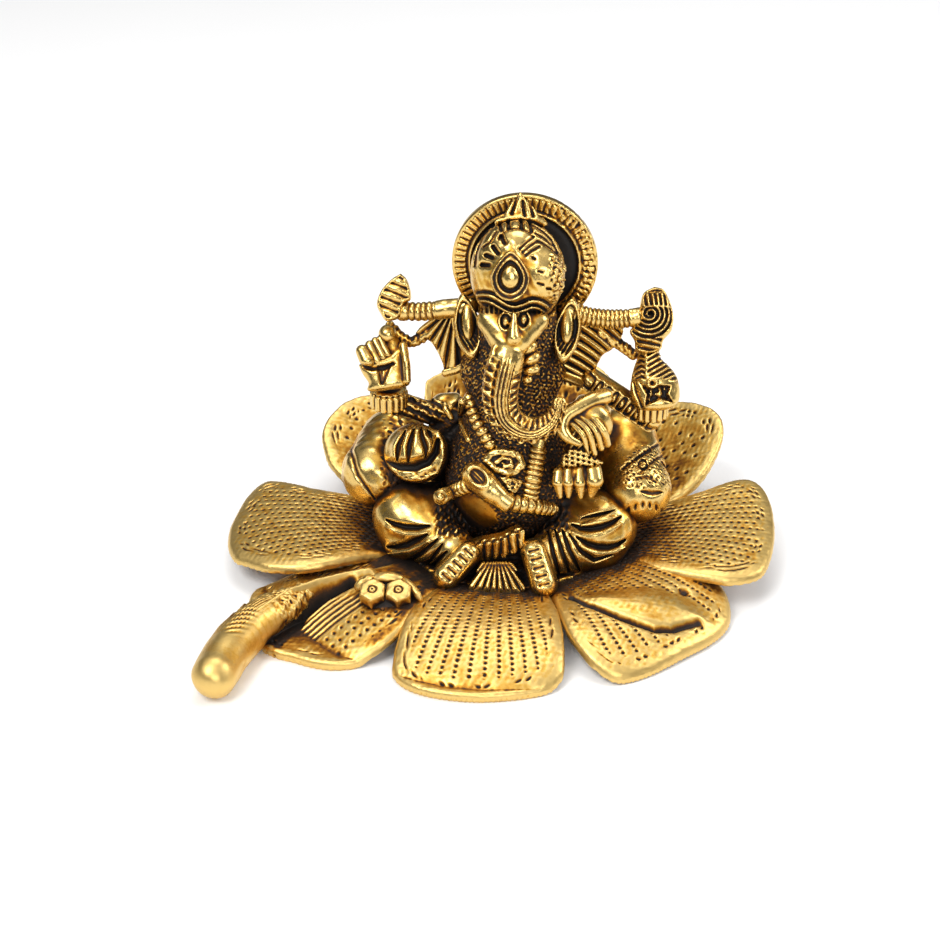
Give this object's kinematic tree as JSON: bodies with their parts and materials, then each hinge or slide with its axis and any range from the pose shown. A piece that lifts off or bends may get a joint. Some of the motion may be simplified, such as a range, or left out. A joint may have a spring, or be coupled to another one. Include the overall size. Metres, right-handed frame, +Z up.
{
  "type": "seated elephant-headed idol",
  "caption": "Cast metal idol of a seated elephant-headed figure on an eight-petal flower, for a shelf, desk or home shrine.",
  "frame": {"origin": "centre of the foot under the flower, on the table", "axes": "+Z up; the figure faces -Y; +X is towards the figure's left hand, the viewer's right"},
  "size_m": [0.119, 0.1093, 0.0821],
  "materials": {
    "flower_gold": "antique gold, burnished high spots over dark brown recesses",
    "figure_gold": "antique gold, burnished high spots over nearly black recesses",
    "ornament_gold": "antique gold, ribbed and engraved, dark in the grooves",
    "fixing_steel": "zinc plated"
  },
  "bodies": {
    "root": {"petal_front": "flower_gold", "petal_front_left": "flower_gold", "petal_left": "flower_gold", "petal_back_left": "flower_gold", "petal_back": "flower_gold", "petal_back_right": "flower_gold", "petal_right": "flower_gold", "petal_front_right": "flower_gold", "flower_stem": "flower_gold", "blossom": "flower_gold", "flower_plate": "flower_gold", "torso": "figure_gold", "leg_right": "figure_gold", "leg_left": "figure_gold", "foot_right": "figure_gold", "foot_left": "figure_gold", "head": "figure_gold", "trunk": "figure_gold", "tusk_left": "figure_gold", "ear_right": "figure_gold", "ear_left": "figure_gold", "upper_arm_right": "figure_gold", "upper_arm_left": "figure_gold", "forearm_right": "figure_gold", "forearm_left": "figure_gold", "knee_hand": "figure_gold", "sweet_hand": "figure_gold", "blessing_hand": "figure_gold", "noose_hand": "figure_gold", "bolster_right": "figure_gold", "bolster_left": "figure_gold", "figure_slab": "figure_gold", "dhoti_pleats": "ornament_gold", "waist_belt": "ornament_gold", "snake_belt": "ornament_gold", "garland": "ornament_gold", "pendant": "ornament_gold", "shawl_right": "ornament_gold", "shawl_left": "ornament_gold", "crown": "ornament_gold", "crown_finial": "ornament_gold", "forehead_gem": "ornament_gold", "halo": "ornament_gold", "axe_head": "ornament_gold", "conch": "ornament_gold", "wrist_cuff_right": "ornament_gold", "wrist_cuff_left": "ornament_gold", "sweet_cuff": "ornament_gold", "sash": "ornament_gold", "fixing_screw": "fixing_steel", "screw_washer": "fixing_steel"}
  },
  "joints": []
}
